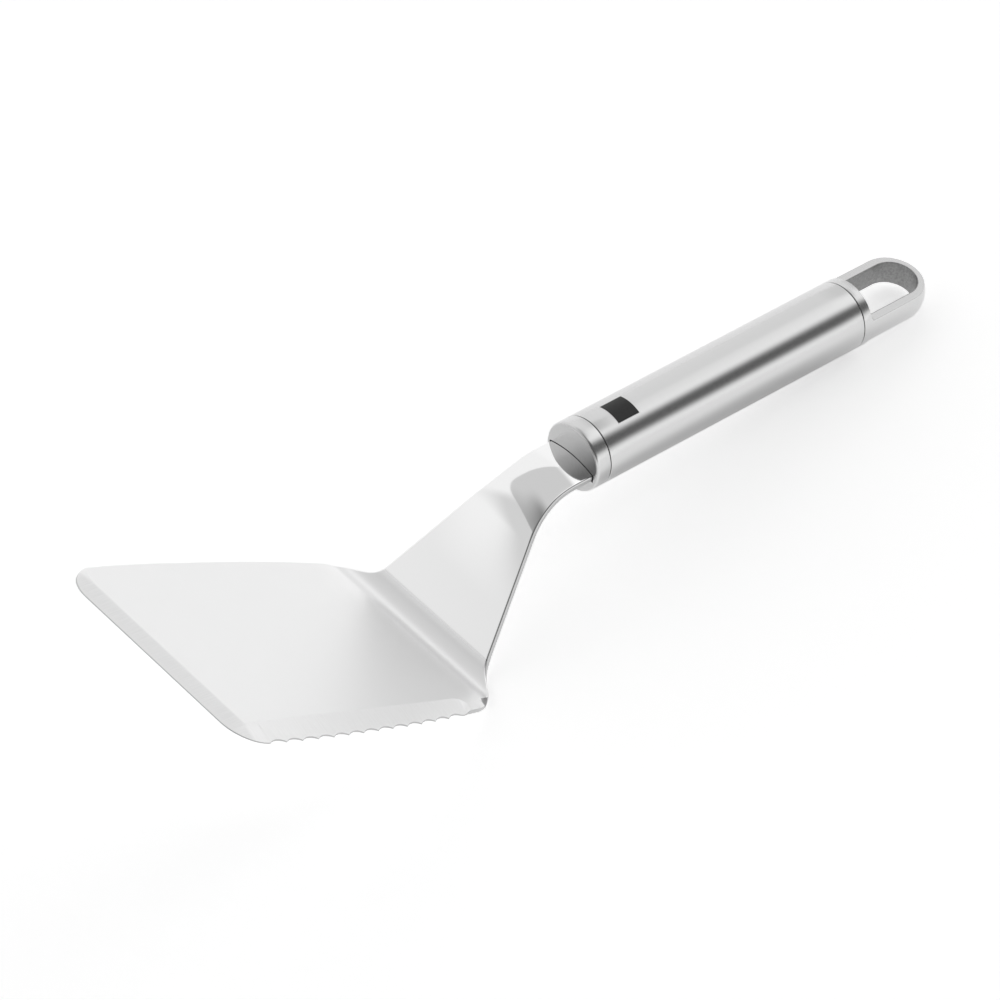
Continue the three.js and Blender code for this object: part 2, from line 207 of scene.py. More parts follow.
def sheet_half(run):
    """Half width of the sheet: a broken line whose corners are arcs, centre half width less side times the
    root of radius squared less the run's distance squared. Inside the cap it steps in to the tang."""
    half = np.interp(run, corner_run, corner_half)
    for start, end, middle, centre, side, radius in zip(
            arc_start, arc_end, arc_run, arc_half, corner_side, corner_radius[1:-1]):
        arc = centre - side * np.sqrt(np.maximum(0, radius ** 2 - (run - middle) ** 2))
        half = np.where((run >= start) & (run <= end), arc, half)
    step = np.clip((run - tang_step) / (neck_half - tang_half) + 1, 0, 1)
    return np.where(run > tang_step, half, tang_half + step * (neck_half - tang_half))


scallop_pitch = 6.95
scallop_count = 13
scallop_depth = 1.0
scallop_radius = (scallop_pitch ** 2 / 4 + scallop_depth ** 2) / (2 * scallop_depth)
scallop_front = front_run - 10.8
scallop_back = scallop_front - scallop_pitch * scallop_count
last_scallop = scallop_back + scallop_pitch / 2
scallop_run_out = 5.0


def scallop_at(run):
    """How far a scallop cuts in: a circular arc between cusps, and behind the last one a cosine fade."""
    from_middle = np.mod(run - scallop_back, scallop_pitch) - scallop_pitch / 2
    arc = np.sqrt(scallop_radius ** 2 - from_middle ** 2) - scallop_radius + scallop_depth
    fade = scallop_depth * (1 + np.cos(np.pi * np.clip((last_scallop - run) / scallop_run_out, 0, 1))) / 2
    return np.where(run >= scallop_front, 0, np.where(run < last_scallop, fade, arc))


edge_land = 0.3
front_bevel = 5.7
bevel_fade = math.radians(80)
bevel_line_front = 32.3
bevel_end = last_scallop - scallop_run_out
bevel_run = front_run - front_bevel
front_centre_run, front_centre_half = arc_run[-1], arc_half[-1]
facet_start = heel_end + 0.85
facet_end = bevel_end - 3.45
near_line = [  # run and half width along the nick, the facet and the bevel, whose heel end is rounded
    (facet_start - 4.5, 31.7), (facet_start - 1.1, 31.5), (facet_start, 31.8), (facet_end, 32.6),
    (facet_end + 1.0, 31.9), (facet_end + 2.0, 30.9), (facet_end + 4.2, 30.4), (bevel_run, bevel_line_front)]
facet_slope = math.tan(math.radians(4.5))
nick_slope = math.tan(math.radians(37))
nick_length = 1.0
run_out_length = 2.3
run_out_curve = 0.12
run_out_middle = 32.7
least_bevel = 0.5
grind_depth = sheet_thickness - edge_land


def smooth(share):
    """Soft step from 0 to 1: three times the square of the share less twice its cube."""
    share = np.clip(share, 0, 1)
    return share * share * (3 - 2 * share)


def bevel_line(run):
    """Half width at which the near side's grinding starts, read off its points."""
    return np.interp(run, *np.array(near_line).T)


def corner_bevel(angle, near):
    """Distance from a front corner's centre to the bevel's inner line, at an angle from straight ahead: near,
    the mitre of both bevels; far, the front bevel narrowing with the square of the angle to nothing."""
    front_reach = bevel_run - front_centre_run
    mitre = np.minimum(front_reach / np.maximum(np.cos(angle), 1e-6),
                       (bevel_line_front - front_centre_half) / np.maximum(np.sin(angle), 1e-6))
    return np.where(near, mitre, front_reach + front_bevel * np.minimum(1, (angle / bevel_fade) ** 2))


def ground_away(run, across):
    """Depth ground off the upper face. Each bevel falls evenly from its inner line to the thin edge. Behind
    the last scallop the near one ends in a curved run-out, a very shallow facet goes on to the heel, and a
    steep nick takes off the corner where the sheet starts to bend."""
    near, out, ahead = across < 0, np.abs(across), run - front_centre_run
    past = out - front_centre_half
    angle = np.arctan2(np.maximum(past, 0), np.maximum(ahead, 1e-9))
    reach = corner_bevel(angle, near)
    width = np.where(near, front_corner - reach, front_bevel)
    corner = grind_depth * np.maximum(0, (np.hypot(ahead, past) - reach) / width)
    front = grind_depth * np.maximum(0, (run - bevel_run) / front_bevel)
    line = bevel_line(run)
    bevel_slope = grind_depth / np.maximum(least_bevel, sheet_half(run) - line)
    run_out = facet_end + run_out_curve * (out - run_out_middle) ** 2
    slope = (facet_slope + (bevel_slope - facet_slope) * smooth((run - run_out) / run_out_length)
             + (nick_slope - facet_slope) * smooth((facet_start - run) / nick_length))
    side = np.where(near & (ahead <= 0), slope * np.maximum(0, out - line), 0)
    depth = np.where((ahead > 0) & (past > 0), corner, np.maximum(front, side))
    return np.where(run < heel_start, 0, np.minimum(grind_depth, depth))


crown_rise = 1.45
crown_fade = 50.0


def sheet_point(run, across, height):
    """A point of the bent sheet: its line, plus the height and the crown square to it. The crown is highest
    in the middle, falls with the square of the share across, and fades out along the neck."""
    along, up, slope = sheet_line(run)
    share = across / np.maximum(neck_half, sheet_half(run))
    rise = height + crown_rise * (1 - smooth((run - cap_length) / crown_fade)) * (1 - share ** 2)
    return placed(along - rise * np.sin(slope), across, up + rise * np.cos(slope))


# The outline is walked from the tang along the near side, round the front and back along the far side. From
# every place on it a line goes in to an anchor: straight across, or to the centre of a front corner.
tang_widens = tang_step - (neck_half - tang_half)
nick_end = heel_end + 1.2
run_out_start = heel_end + 7
run_out_end = heel_end + 13
scallop_steps = 16
side_stretches = [  # where each stretch of the sides ends, and its steps
    (tang_widens, 3), (tang_step, 2), (bend_start, 11), (bend_end, 59), (heel_start, 35), (heel_end, 55),
    (nick_end, 7), (run_out_start, 11), (run_out_end, 35), (last_scallop, 7),
    (last_scallop + scallop_pitch / 2, scallop_steps // 2),
    (scallop_front - scallop_pitch, scallop_steps * (scallop_count - 2)), (front_centre_run, 13)]
side_runs = np.array([tang_end])
for stretch_end, steps in side_stretches:
    side_runs = np.append(side_runs, np.linspace(side_runs[-1], stretch_end, steps + 1)[1:])
scallop_angle = math.asin((scallop_front - front_centre_run) / front_corner)
turn_angles = np.append(np.linspace(0, scallop_angle, 5)[:-1], np.linspace(scallop_angle, math.pi / 2, 26))
inner_shares = np.linspace(-1, 1, 21)
anchor_share = 0.6
side_half = sheet_half(side_runs)
side_anchor = side_half - np.minimum(side_half[-1] - front_centre_half, anchor_share * side_half)
turn_radius = front_corner / np.cos(np.maximum(0, -corner_heading[-2] - turn_angles))
turn_run = front_centre_run + turn_radius * np.sin(turn_angles)
turn_half = front_centre_half + turn_radius * np.cos(turn_angles)
front_across = front_centre_half * inner_shares[1:-1]

near_rim = np.stack([side_runs, scallop_at(side_runs) - side_half], axis=-1)
near_turn = np.stack([turn_run, scallop_at(turn_run) - turn_half], axis=-1)[1:]
front_rim = np.stack([0 * front_across + front_run, front_across], axis=-1)
far_turn = np.stack([turn_run, turn_half], axis=-1)[:0:-1]
far_rim = np.stack([side_runs, side_half], axis=-1)[::-1]
rim = np.concatenate([near_rim, near_turn, front_rim, far_turn, far_rim])
turn_anchor = np.stack([0 * turn_angles + front_centre_run, 0 * turn_angles + front_centre_half], axis=-1)[1:]
anchor = np.concatenate([
    np.stack([side_runs, -side_anchor], axis=-1),
    turn_anchor * [1, -1],
    np.stack([0 * front_across + front_centre_run, front_across], axis=-1),
    turn_anchor,
    np.stack([side_runs, side_anchor], axis=-1)[::-1],
])
crease = np.concatenate([
    -near_rim[:, 1] - bevel_line(side_runs),
    turn_radius[1:] - corner_bevel(math.pi / 2 - turn_angles[1:], True),
    0 * front_across + front_bevel,
    (turn_radius - corner_bevel(math.pi / 2 - turn_angles, False))[:0:-1],
    0 * side_runs,
])
slant = np.concatenate([
    np.hypot(1, np.gradient(near_rim[:, 1], side_runs)),
    np.ones(2 * len(turn_run) - 2 + len(front_across)),
    np.hypot(1, np.gradient(side_half, side_runs))[::-1],
])
rim_depth = ground_away(*rim.T)
full_edge = sheet_thickness - rim_depth
rounding_share = 0.3
top_rounding = 0.55
low_rounding = 0.40
top_round = np.minimum(top_rounding, rounding_share * full_edge)
low_round = np.minimum(low_rounding, rounding_share * full_edge)
inward = anchor - rim
anchor_reach = np.hypot(*inward.T)
inward = inward / anchor_reach[:, None]
round_turn = np.linspace(0, math.pi / 2, 8)
crease_from_rim = 0.85
crease_from_anchor = 0.5
crease_gap = 0.12
crease = np.clip(crease, crease_from_rim * slant, anchor_reach - crease_from_anchor)


def band(rounding):
    """Distances in from the rim, one row for each place on it: through the rounding by the turn's cosine,
    then evenly to the bevel's inner line, which gets a close pair of lines, and evenly on to the anchor."""
    turn = rounding[:, None] * (1 - np.cos(round_turn)) * slant[:, None]
    before, after = crease[:, None] - crease_gap, crease[:, None] + crease_gap
    to_line = turn[:, -1:] + (before - turn[:, -1:]) * np.linspace(0, 1, 6)[1:]
    from_line = after + (anchor_reach[:, None] - after) * np.linspace(0, 1, 7)
    return np.concatenate([turn, to_line, crease[:, None], from_line], axis=1)


def rounded_drop(distance, rounding):
    """How far a rounded edge lies below its face at a distance in from the rim: the radius, less the root of
    its square less the square of what is left of it."""
    left = np.clip(rounding[:, None] - distance / slant[:, None], 0, None)
    return rounding[:, None] - np.sqrt(np.maximum(0, rounding[:, None] ** 2 - left ** 2))


top_in, low_in = band(top_round), band(low_round)
top_flat = rim[:, None] + inward[:, None] * top_in[..., None]
low_flat = rim[:, None] + inward[:, None] * low_in[..., None]
top_height = -ground_away(top_flat[..., 0], top_flat[..., 1]) - rounded_drop(top_in, top_round)
low_height = -sheet_thickness + rounded_drop(low_in, low_round)
top_band = sheet_point(top_flat[..., 0], top_flat[..., 1], top_height)
low_band = sheet_point(low_flat[..., 0], low_flat[..., 1], low_height)
inner_run = side_runs[:, None] + 0 * inner_shares
inner_across = side_anchor[:, None] * inner_shares
top_inner = sheet_point(inner_run, inner_across, 0 * inner_run)
low_inner = sheet_point(inner_run, inner_across, 0 * inner_run - sheet_thickness)
top_end = np.concatenate([top_band[0], top_inner[0], top_band[-1][::-1]])
low_end = np.concatenate([low_band[0], low_inner[0], low_band[-1][::-1]])

least_ground = 1e-4
cut_depth = 0.5
past_rounding = top_in > top_round[:, None] * slant[:, None] - 1e-6
ground_band = (top_height < -least_ground) & past_rounding & (top_flat[..., 0] > heel_end)
well_inside = np.full(inner_run.shape, 10.0)
rim_pair = np.stack([rim] * 2, axis=1)
end_pair = np.zeros((len(top_end), 2))
blade = skin(
    "blade_sheet",
    [(top_band, False), (low_band, True), (top_inner, False), (low_inner, True),
     (np.stack([top_band[:, 0], low_band[:, 0]], axis=1), True),
     (np.stack([top_end, low_end], axis=1), False)],
    ground=[ground_band, 0 * low_in, 0 * inner_run, 0 * inner_run,
            np.stack([rim_depth > cut_depth] * 2, axis=1), end_pair],
    run=[top_flat[..., 0], low_flat[..., 0], inner_run, inner_run, rim_pair[..., 0], end_pair + tang_end],
    across=[top_flat[..., 1], low_flat[..., 1], inner_across, inner_across, rim_pair[..., 1], end_pair],
    inward=[top_in, low_in, well_inside, well_inside, 0 * rim_pair[..., 0], end_pair],
)
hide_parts("blade")
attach(blade, "root")


class Shade:
    """A socket of a finish or of the world's shading. Operators on numbers add Math nodes, and node() adds
    any other node: its settings first, then the values or links of its sockets."""

    def __init__(self, tree, socket=None):
        self.tree, self.socket = tree, socket

    def node(self, kind, settings=None, sockets=None, out=0):
        made = self.tree.nodes.new(kind)
        for setting, value in (settings or {}).items():
            setattr(made, setting, value)
        for name, value in (sockets or {}).items():
            if isinstance(value, Shade):
                self.tree.links.new(value.socket, made.inputs[name])
            else:
                made.inputs[name].default_value = value
        return Shade(self.tree, made.outputs[out] if len(made.outputs) else None)

    def math(self, operation, first, second=0.0):
        return self.node("ShaderNodeMath", {"operation": operation}, {0: first, 1: second})

    def __add__(self, other):
        return self.math("ADD", self, other)

    def __radd__(self, other):
        return self.math("ADD", other, self)

    def __sub__(self, other):
        return self.math("SUBTRACT", self, other)

    def __rsub__(self, other):
        return self.math("SUBTRACT", other, self)

    def __mul__(self, other):
        return self.math("MULTIPLY", self, other)

    def __rmul__(self, other):
        return self.math("MULTIPLY", other, self)

    def __truediv__(self, other):
        return self.math("DIVIDE", self, other)

    def __abs__(self):
        return self.math("ABSOLUTE", self)

    def step(self, low, high):
        """Soft step from 0 to 1 while this number goes from low to high."""
        return self.node("ShaderNodeMapRange", {"interpolation_type": "SMOOTHSTEP"},
                         {"Value": self, "From Min": low, "From Max": high})


def new_finish(piece, name):
    """An empty material on a piece."""
    material = bpy.data.materials.new(name)
    material.use_nodes = True
    material.node_tree.nodes.clear()
    piece.data.materials.clear()
    piece.data.materials.append(material)
    return Shade(material.node_tree)


def finish_surface(shade, tone, bump, sockets):
    """A surface with a grey of the given tone and a fine relief, whose height is in metres."""
    grey = shade.node("ShaderNodeCombineColor", None, {0: tone, 1: tone, 2: tone})
    normal = shade.node("ShaderNodeBump", None, {"Strength": 1.0, "Distance": 1.0, "Height": bump})
    surface = shade.node("ShaderNodeBsdfPrincipled", None, {"Base Color": grey, "Normal": normal, **sockets})
    shade.node("ShaderNodeOutputMaterial", None, {"Surface": surface})


def mark(shade, name):
    """The number that a piece's mesh holds under a name."""
    return shade.node("ShaderNodeAttribute", {"attribute_name": name}, out="Fac")


def noise(shade, place, scale, detail, roughness=0.5):
    """Soft noise from 0 to 1 over a place, with as many finer layers as the detail says."""
    sockets = {"Vector": place, "Scale": scale, "Detail": detail, "Roughness": roughness}
    return shade.node("ShaderNodeTexNoise", None, sockets, out="Fac")


def sheet_noise(run_scale, across_scale, detail):
    """Noise over the flat sheet, with about as many spots to the millimetre each way as the scales say."""
    sides = {"X": sheet_run * run_scale, "Y": sheet_across * across_scale}
    return noise(sheet, sheet.node("ShaderNodeCombineXYZ", None, sides), 1.0, detail)


sheet_tone = 0.95
# The blade gets a lighter tone than the neck, though both are one polished sheet: painted light on the blade.
blade_painted_light = 0.03
ground_loss = 0.04
# The front bevel is painted darker than the near one, though both are ground alike: painted shade.
front_bevel_painted_shade = 0.11
ground_contrast = 0.10
# The thin cut edge and its rounding are painted darker: painted shade along the edge. Its higher roughness is
# its own.
cut_edge_painted_shade = 0.36
neck_roughness = 0.06
heel_roughness = 0.20
blade_roughness = 0.17
haze_roughness = 0.06
cut_roughness = 0.20
wave_height = 0.00005
ground_height = 0.000003
sheet = new_finish(blade, "polished_sheet")
sheet_run = mark(sheet, "run")
sheet_across = mark(sheet, "across")
is_ground = mark(sheet, "ground").step(0.3, 0.7)
is_cut = 1 - mark(sheet, "inward").step(0.05, 0.25)
in_heel = sheet_run.step(heel_start - 0.2, heel_start + 0.5)
on_blade = sheet_run.step(heel_end - 2, heel_end + 10)
on_front = sheet_run.step(bevel_run - 1.0, bevel_run + 1.0)
side_lines = sheet_noise(1.6, 0.15, 3.0)
front_lines = sheet_noise(0.15, 2.6, 3.0)
ground_lines = side_lines + on_front * (front_lines - side_lines)
sheet_haze = sheet_noise(0.11, 0.11, 4.0) * haze_roughness
# The ground streaks are the grinding's own; the front bevel's extra darkness in this tone is painted shade.
ground_tone_and_painted_shade = ground_lines * ground_contrast - ground_loss - on_front * front_bevel_painted_shade
sheet_waves = sheet_noise(0.035, 0.035, 1.0)
sheet_roughness = (neck_roughness + in_heel * (sheet_haze + heel_roughness) + on_blade * blade_roughness
                   + (1 - in_heel) * is_cut * cut_roughness)
# The tone holds painted light on the blade and painted shade on the front bevel and on the cut edge.
finish_surface(
    sheet,
    tone=sheet_tone + on_blade * blade_painted_light + is_ground * ground_tone_and_painted_shade - is_cut * cut_edge_painted_shade,
    bump=sheet_waves * in_heel * wave_height + is_ground * ground_lines * ground_height,
    sockets={"Roughness": sheet_roughness, "Metallic": 1.0},
)


# Front cap: a turned stainless plug that closes the handle's front end, with a softened rim, a spigot pressed
# into the tube, and the slot that the neck goes in through.
fit_clearance = 0.3
seam_gap = 0.3
seam_round = 0.15
slot_above = 0.21
tube_wall = 1.0
spigot_length = 8.0
spigot_radius = handle_radius - tube_wall - fit_clearance
cap_rim = 1.0
slot_points = 48
slot_edge_turn = math.radians(6)
quarter_turn = math.pi / 2
full_turn = np.linspace(0, 2 * math.pi, 193)


def arc(centre_radius, centre_along, radius, start, end, steps):
    """Radius and place along the axis on an arc: centre plus radius times the angle's cosine and sine."""
    angle = np.linspace(math.radians(start), math.radians(end), steps + 1)
    return np.stack([centre_radius + radius * np.cos(angle), centre_along + radius * np.sin(angle)], axis=-1)


def turned(profile, turn=full_turn):
    """A surface turned about the handle's axis: each profile point goes round at its radius, sine towards
    the far side and cosine upwards."""
    radius, along = np.concatenate([np.atleast_2d(part) for part in profile]).T
    angle = turn[:, None]
    return placed(along + 0 * angle, radius * np.sin(angle), radius * np.cos(angle))


def slot_loop(run, half):
    """Closed outline of the slot at one place along the sheet, from the far end of its upper side to the
    near end and back below: the arched sheet, wider and thicker by the clearance, a little less above. The
    points stand at the cosines of even angles, so that each goes with one of the round rim's."""
    share = np.cos(np.linspace(0, math.pi, slot_points))
    across = np.concatenate([share, -share]) * (half + fit_clearance)
    height = np.concatenate([0 * share + slot_above, 0 * share - sheet_thickness - fit_clearance])
    return sheet_point(0 * across + run, across, height)


slot_places = [(cap_length, neck_half), (tang_step - fit_clearance, neck_half),
               (tang_widens - fit_clearance, tang_half), (-spigot_length, tang_half)]
slot_walls = np.stack([slot_loop(run, half) for run, half in slot_places])
slot_walls = np.concatenate([slot_walls, slot_walls[:, :1]], axis=1)
slot_turn = np.concatenate([
    np.linspace(quarter_turn - slot_edge_turn, slot_edge_turn - quarter_turn, slot_points),
    np.linspace(-quarter_turn - slot_edge_turn, slot_edge_turn - 3 * quarter_turn, slot_points),
    [-3 * quarter_turn - slot_edge_turn]])


def slotted_face(loop, along, radius):
    """Flat ring from the slot's outline to a circle round it, both walked together."""
    ring = turned([(radius, along)], slot_turn)[:, 0]
    return loop + (ring - loop) * np.array([0, 0.5, 1])[:, None, None]


front_disc = slotted_face(slot_walls[0], -cap_length, handle_radius - cap_rim)
back_disc = slotted_face(slot_walls[-1], spigot_length, spigot_radius)
cap_side = turned([
    arc(handle_radius - cap_rim, -cap_length + cap_rim, cap_rim, -90, 0, 12),
    arc(handle_radius - seam_round, -seam_gap / 2 - seam_round, seam_round, 0, 90, 4),
    (spigot_radius, -seam_gap / 2), (spigot_radius, spigot_length)], slot_turn)
front_cap = skin("front_cap_turned", [
    (front_disc, False), (cap_side, True), (back_disc, True), (slot_walls, True)])
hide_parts("front_cap")
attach(front_cap, "root")

satin_tone = 0.67
satin_contrast = 0.06
satin_roughness = 0.19
satin_haze = 0.06
satin_height = 0.0000020
lines_per_metre = 4000.0
line_length = 0.012
# The cap's flat face is painted darker than its turned side: painted shade. Its lower roughness is its own.
face_painted_shade = 0.22
face_roughness = 0.04
face_edge = 0.4
handle_sides = (handle_axis, (0, 1, 0), handle_rise)


def dot(shade, place, side):
    """How far a place or a direction reaches along a side of the handle."""
    sockets = {0: place, 1: tuple(side)}
    return shade.node("ShaderNodeVectorMath", {"operation": "DOT_PRODUCT"}, sockets, out="Value")


def turned_lines(shade):
    """Fine lines round the handle's axis, left by turning and satin brushing, each of which fades out."""
    place = shade.node("ShaderNodeTexCoord", out="Object")
    along, across, up = (dot(shade, place, side) for side in handle_sides)
    stretched = {"X": along * lines_per_metre, "Y": across * (1 / line_length), "Z": up * (1 / line_length)}
    return noise(shade, shade.node("ShaderNodeCombineXYZ", None, stretched), 1.0, 4.0, 0.65)


cap_finish = new_finish(front_cap, "satin_cap")
cap_lines = turned_lines(cap_finish)
cap_along = dot(cap_finish, cap_finish.node("ShaderNodeTexCoord", out="Object"), handle_axis)
cap_front = float(seam_middle @ handle_axis) - cap_length * millimetre
on_face = 1 - cap_along.step(cap_front, cap_front + face_edge * millimetre)
cap_roughness = satin_roughness + cap_lines * satin_haze + on_face * face_roughness
# The tone darkens the flat face: painted shade.
finish_surface(
    cap_finish,
    tone=(satin_tone + cap_lines * satin_contrast) * (1 - on_face * face_painted_shade),
    bump=cap_lines * satin_height,
    sockets={"Roughness": cap_roughness, "Metallic": 1.0},
)


# Handle tube: a plain drawn tube of stainless steel between the caps, satin brushed, its ends lightly broken
# so that each seam is a fine groove.
bore = handle_radius - tube_wall
tube_front = seam_gap / 2 + seam_round
tube_back = tube_length - seam_gap / 2 - seam_round
tube_places = np.linspace(tube_front, tube_back, 13)[1:-1]
tube_profile = [
    (bore, seam_gap / 2),
    arc(handle_radius - seam_round, tube_front, seam_round, -90, 0, 4),
    np.stack([0 * tube_places + handle_radius, tube_places], axis=-1),
    arc(handle_radius - seam_round, tube_back, seam_round, 0, 90, 4),
    (bore, tube_length - seam_gap / 2),
    (bore, seam_gap / 2),
]
tube = skin("handle_tube_turned", [(turned(tube_profile), False)])
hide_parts("handle_tube")
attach(tube, "root")

tube_finish = new_finish(tube, "satin_tube")
tube_lines = turned_lines(tube_finish)
finish_surface(
    tube_finish,
    tone=satin_tone + tube_lines * satin_contrast,
    bump=tube_lines * satin_height,
    sockets={"Roughness": satin_roughness + tube_lines * satin_haze, "Metallic": 1.0},
)


# Rear cap with the hanging loop: a collar of stainless steel, turned and pressed into the tube, and behind it
# a flattened loop with a round end that was cast with it, its edges broken and its opening left as cast, its
# walls painted darker than their cast grey for the shade inside the opening.
loop_half = 8.2 / 2
loop_length = 29.45
loop_end_radius = 10.9
opening_half = 14.8 / 2
loop_end_wall = 2.65
loop_fillet = 0.8
loop_edge = 0.15
loop_sunk = 0.4
loop_inset = 0.02
collar_end = tube_length + collar_length
dome_centre = collar_end + loop_length - loop_end_radius
opening_centre = collar_end + loop_length - loop_end_wall - opening_half
collar = turned([
    (0, tube_length - spigot_length), (spigot_radius, tube_length - spigot_length),
    (spigot_radius, tube_length + seam_gap / 2),
    arc(handle_radius - seam_round, tube_length + seam_gap / 2 + seam_round, seam_round, -90, 0, 4),
    arc(handle_radius - seam_round, collar_end - seam_round, seam_round, 0, 90, 4),
    (0, collar_end)])

# The loop's cross-section is walked round at each place along it, from the near leg to the far one: place
# says where it is cut, swing how far the round end has turned.
fillet_share = 0.04
leg_share = np.append(np.linspace(0, fillet_share, 9)[:-1], np.linspace(fillet_share, 1, 30))
swing = np.linspace(quarter_turn, -quarter_turn, 65)[1:-1]
leg_start = collar_end - loop_sunk


def leg_round_leg(centre):
    """Places where the loop is cut: along the near leg to the round end's centre, the centre itself while
    the end swings round, and back along the far leg."""
    leg = leg_start + (centre - leg_start) * leg_share
    return np.concatenate([leg, 0 * swing + centre, leg[::-1]])


outer_place, inner_place = leg_round_leg(dome_centre), leg_round_leg(opening_centre)
loop_turned = np.concatenate([0 * leg_share + quarter_turn, swing, 0 * leg_share - quarter_turn])
loop_outer = np.interp(outer_place, [collar_end, dome_centre], [handle_radius - loop_inset, loop_end_radius])


def flare(place):
    """How much wider the loop is where its fillet meets the collar: a quarter circle tangent to the loop."""
    left = np.clip(collar_end + loop_fillet - place, 0, loop_fillet)
    return loop_fillet - np.sqrt(loop_fillet ** 2 - left ** 2)


half_up = (loop_half + flare(outer_place))[:, None]
inner_reach = (opening_half - flare(inner_place))[:, None]
outer_reach = loop_outer[:, None]
lift = np.arcsin((half_up - loop_edge) / (outer_reach - loop_edge))
round_share = np.linspace(0, 1, 6)
side_share = np.linspace(-1, 1, 17)[1:-1]
upper_turn = lift + (quarter_turn - lift) * round_share
corner_reach_out = np.sqrt((outer_reach - loop_edge) ** 2 - (half_up - loop_edge) ** 2)
inner_turn = quarter_turn + quarter_turn * round_share
flat_share = np.linspace(0, 1, 7)[1:-1]
inner_centre = inner_reach + loop_edge
wall_turn = lift * side_share
outer_arc = np.concatenate([
    corner_reach_out + loop_edge * np.cos(-upper_turn[:, ::-1]), outer_reach * np.cos(wall_turn),
    corner_reach_out + loop_edge * np.cos(upper_turn)], axis=1)
outer_up = np.concatenate([
    -half_up + loop_edge + loop_edge * np.sin(-upper_turn[:, ::-1]), outer_reach * np.sin(wall_turn),
    half_up - loop_edge + loop_edge * np.sin(upper_turn)], axis=1)
top_reach = corner_reach_out + (inner_centre - corner_reach_out) * flat_share
inner_arc = np.concatenate([
    inner_centre + loop_edge * np.cos(inner_turn), inner_reach + 0 * side_share,
    inner_centre + loop_edge * np.cos(-inner_turn[::-1])], axis=1)
inner_up = np.concatenate([
    half_up - loop_edge + loop_edge * np.sin(inner_turn), -side_share * (half_up - loop_edge),
    -half_up + loop_edge - loop_edge * np.sin(inner_turn[::-1])], axis=1)
face_up = half_up + 0 * flat_share
section_reach = np.concatenate([
    outer_arc, top_reach, inner_arc, top_reach[:, ::-1], outer_arc[:, :1]], axis=1)
section_up = np.concatenate([outer_up, face_up, inner_up, -face_up, outer_up[:, :1]], axis=1)
in_wall, in_opening = np.zeros(outer_arc.shape[1]), np.ones(inner_arc.shape[1])
from_outer = np.concatenate([in_wall, flat_share, in_opening, flat_share[::-1], [0]])
section_place = outer_place[:, None] + (inner_place - outer_place)[:, None] * from_outer
loop_skin = placed(section_place + section_reach * np.cos(loop_turned)[:, None],
                   -section_reach * np.sin(loop_turned)[:, None], section_up)
loop_skin = np.concatenate([loop_skin[:1].mean(axis=1, keepdims=True) + 0 * loop_skin[:1], loop_skin,
                            loop_skin[-1:].mean(axis=1, keepdims=True) + 0 * loop_skin[-1:]])
opening_mark = np.concatenate([in_wall, 0 * flat_share, in_opening, 0 * flat_share, [0]])
loop_cap = skin("loop_cap_cast", [(collar, False), (loop_skin, True)],
                opening=[0 * collar[..., 0], opening_mark + 0 * loop_skin[..., 0]])
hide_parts("loop_cap")
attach(loop_cap, "root")

loop_satin_roughness = 0.20
cast_grain = 1500.0
# The opening's walls are darkened partly for their cast grey and partly as painted shade inside the opening.
cast_grey_and_painted_shade = 0.52
cast_contrast = 0.4
cast_roughness = 0.25
cast_height = 0.00008
loop_finish = new_finish(loop_cap, "cast_loop")
loop_lines = turned_lines(loop_finish)
on_opening_wall = mark(loop_finish, "opening").step(0.4, 0.9)
loop_place = loop_finish.node("ShaderNodeTexCoord", out="Object")
loop_grain = noise(loop_finish, loop_place, cast_grain, 4.0)
loop_roughness = loop_satin_roughness + loop_lines * satin_haze + on_opening_wall * cast_roughness
# The tone darkens the opening's walls: their cast grey together with painted shade. Their grain, roughness
# and relief are their own.
finish_surface(
    loop_finish,
    tone=satin_tone + loop_lines * satin_contrast - on_opening_wall * (cast_grey_and_painted_shade - loop_grain * cast_contrast),
    bump=loop_lines * satin_height + on_opening_wall * loop_grain * cast_height,
    sockets={"Roughness": loop_roughness, "Metallic": 1.0},
)


# Badge plate: a thin square of black enamelled metal with a narrow bright rim, bent to the tube and set on
# top of it behind the front seam. It is left bare.
plate_size = 8.6
plate_start = 7.25
plate_proud = 0.08
plate_sunk = 0.1
plate_round = 0.06
plate_share = np.linspace(-1, 1, 41)
plate_along, plate_across = np.meshgrid(plate_share, plate_share, indexing="ij")
rim_distance = (1 - np.maximum(np.abs(plate_along), np.abs(plate_across))) * plate_size / 2
plate_height = plate_proud - plate_round * np.isclose(rim_distance, 0)
plate_place = plate_start + (1 + plate_along) * plate_size / 2
plate_angle = plate_across * plate_size / 2 / handle_radius


def bent_to_tube(height):
    """Points of the plate round the tube's axis at its radius plus a height."""
    reach = handle_radius + height
    return placed(plate_place, reach * np.sin(plate_angle), reach * np.cos(plate_angle))


plate_top = bent_to_tube(plate_height)
plate_under = bent_to_tube(0 * plate_height - plate_sunk)


def rim_of(grid):
    """The outline of a grid of points, walked once round."""
    return np.concatenate([grid[:-1, 0], grid[-1, :-1], grid[:0:-1, -1], grid[0, ::-1]])


plate_side = np.stack([rim_of(plate_top), rim_of(plate_under)], axis=1)
plate = skin("badge_plate", [(plate_top, True), (plate_under, False), (plate_side, False)],
             from_rim=[rim_distance, rim_distance, 0 * plate_side[..., 0]])
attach(plate, "root")

